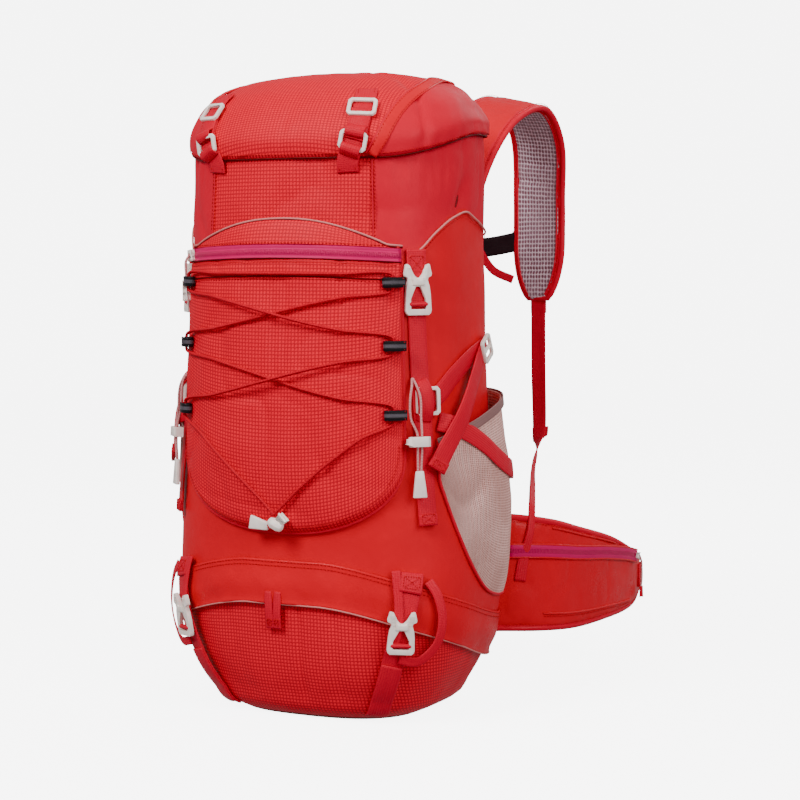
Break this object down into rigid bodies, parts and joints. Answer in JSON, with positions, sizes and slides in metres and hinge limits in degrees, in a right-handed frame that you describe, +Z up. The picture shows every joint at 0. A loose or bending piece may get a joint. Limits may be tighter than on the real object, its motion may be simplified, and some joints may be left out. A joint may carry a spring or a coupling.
{
  "type": "hiking backpack",
  "caption": "Framed hiking backpack with a zipped top lid, laced front pocket, side mesh pockets, compression straps, arched padded shoulder straps and a closed hip belt.",
  "frame": {"origin": "on the floor under the middle of the bag, at the middle of its flat base", "axes": "+X to the right of someone who looks at the bag's front, +Y from the front to the wearer's side, +Z up"},
  "size_m": [0.3648, 0.5813, 0.5996],
  "materials": {
    "ripstop_fabric": "satin ripstop nylon",
    "plain_fabric": "satin coated nylon",
    "padded_fabric": "satin nylon over foam",
    "air_mesh": "matt spacer mesh",
    "mesh": "matt stretch mesh",
    "zip": "coated zip tape",
    "webbing": "woven webbing",
    "keeper": "black webbing",
    "cord": "braided cord",
    "pale_cord": "braided cord",
    "plastic": "satin moulded plastic"
  },
  "bodies": {
    "root": {"main_bag": "plain_fabric", "bottom_compartment": "ripstop_fabric", "storm_flap": "plain_fabric", "back_panel": "air_mesh", "front_pocket": "ripstop_fabric", "front_zip": "zip", "front_yoke": "plain_fabric", "lid": "ripstop_fabric", "lid_strap_left": "webbing", "lid_slider_left": "plastic", "lid_lock_left": "plastic", "lid_strap_right": "webbing", "lid_slider_right": "plastic", "lid_lock_right": "plastic", "lace_loop_left_1": "keeper", "lace_loop_right_1": "keeper", "lace_loop_left_2": "keeper", "lace_loop_right_2": "keeper", "lace_loop_left_3": "keeper", "lace_loop_right_3": "keeper", "lace_cord": "cord", "lace_lock": "plastic", "lace_end": "plastic", "side_strap_left": "webbing", "side_buckle_left": "plastic", "side_slider_left": "plastic", "compression_strap_left": "webbing", "rear_buckle_left": "plastic", "lower_strap_left": "webbing", "mesh_pocket_left": "mesh", "pole_loop_left": "pale_cord", "pole_lock_left": "plastic", "pole_end_left": "plastic", "bottom_strap_left": "webbing", "bottom_buckle_left": "plastic", "bottom_zip_pull_left": "webbing", "shoulder_strap_left": "air_mesh", "shoulder_webbing_left": "webbing", "hip_wing_left": "padded_fabric", "waist_strap_left": "webbing", "side_strap_right": "webbing", "side_buckle_right": "plastic", "side_slider_right": "plastic", "compression_strap_right": "webbing", "rear_buckle_right": "plastic", "lower_strap_right": "webbing", "mesh_pocket_right": "mesh", "pole_loop_right": "pale_cord", "pole_lock_right": "plastic", "pole_end_right": "plastic", "bottom_strap_right": "webbing", "bottom_buckle_right": "plastic", "bottom_zip_pull_right": "webbing", "shoulder_strap_right": "air_mesh", "shoulder_webbing_right": "webbing", "hip_wing_right": "padded_fabric", "waist_strap_right": "webbing", "waist_buckle": "plastic", "sternum_strap": "webbing", "sternum_buckle": "plastic"}
  },
  "joints": []
}
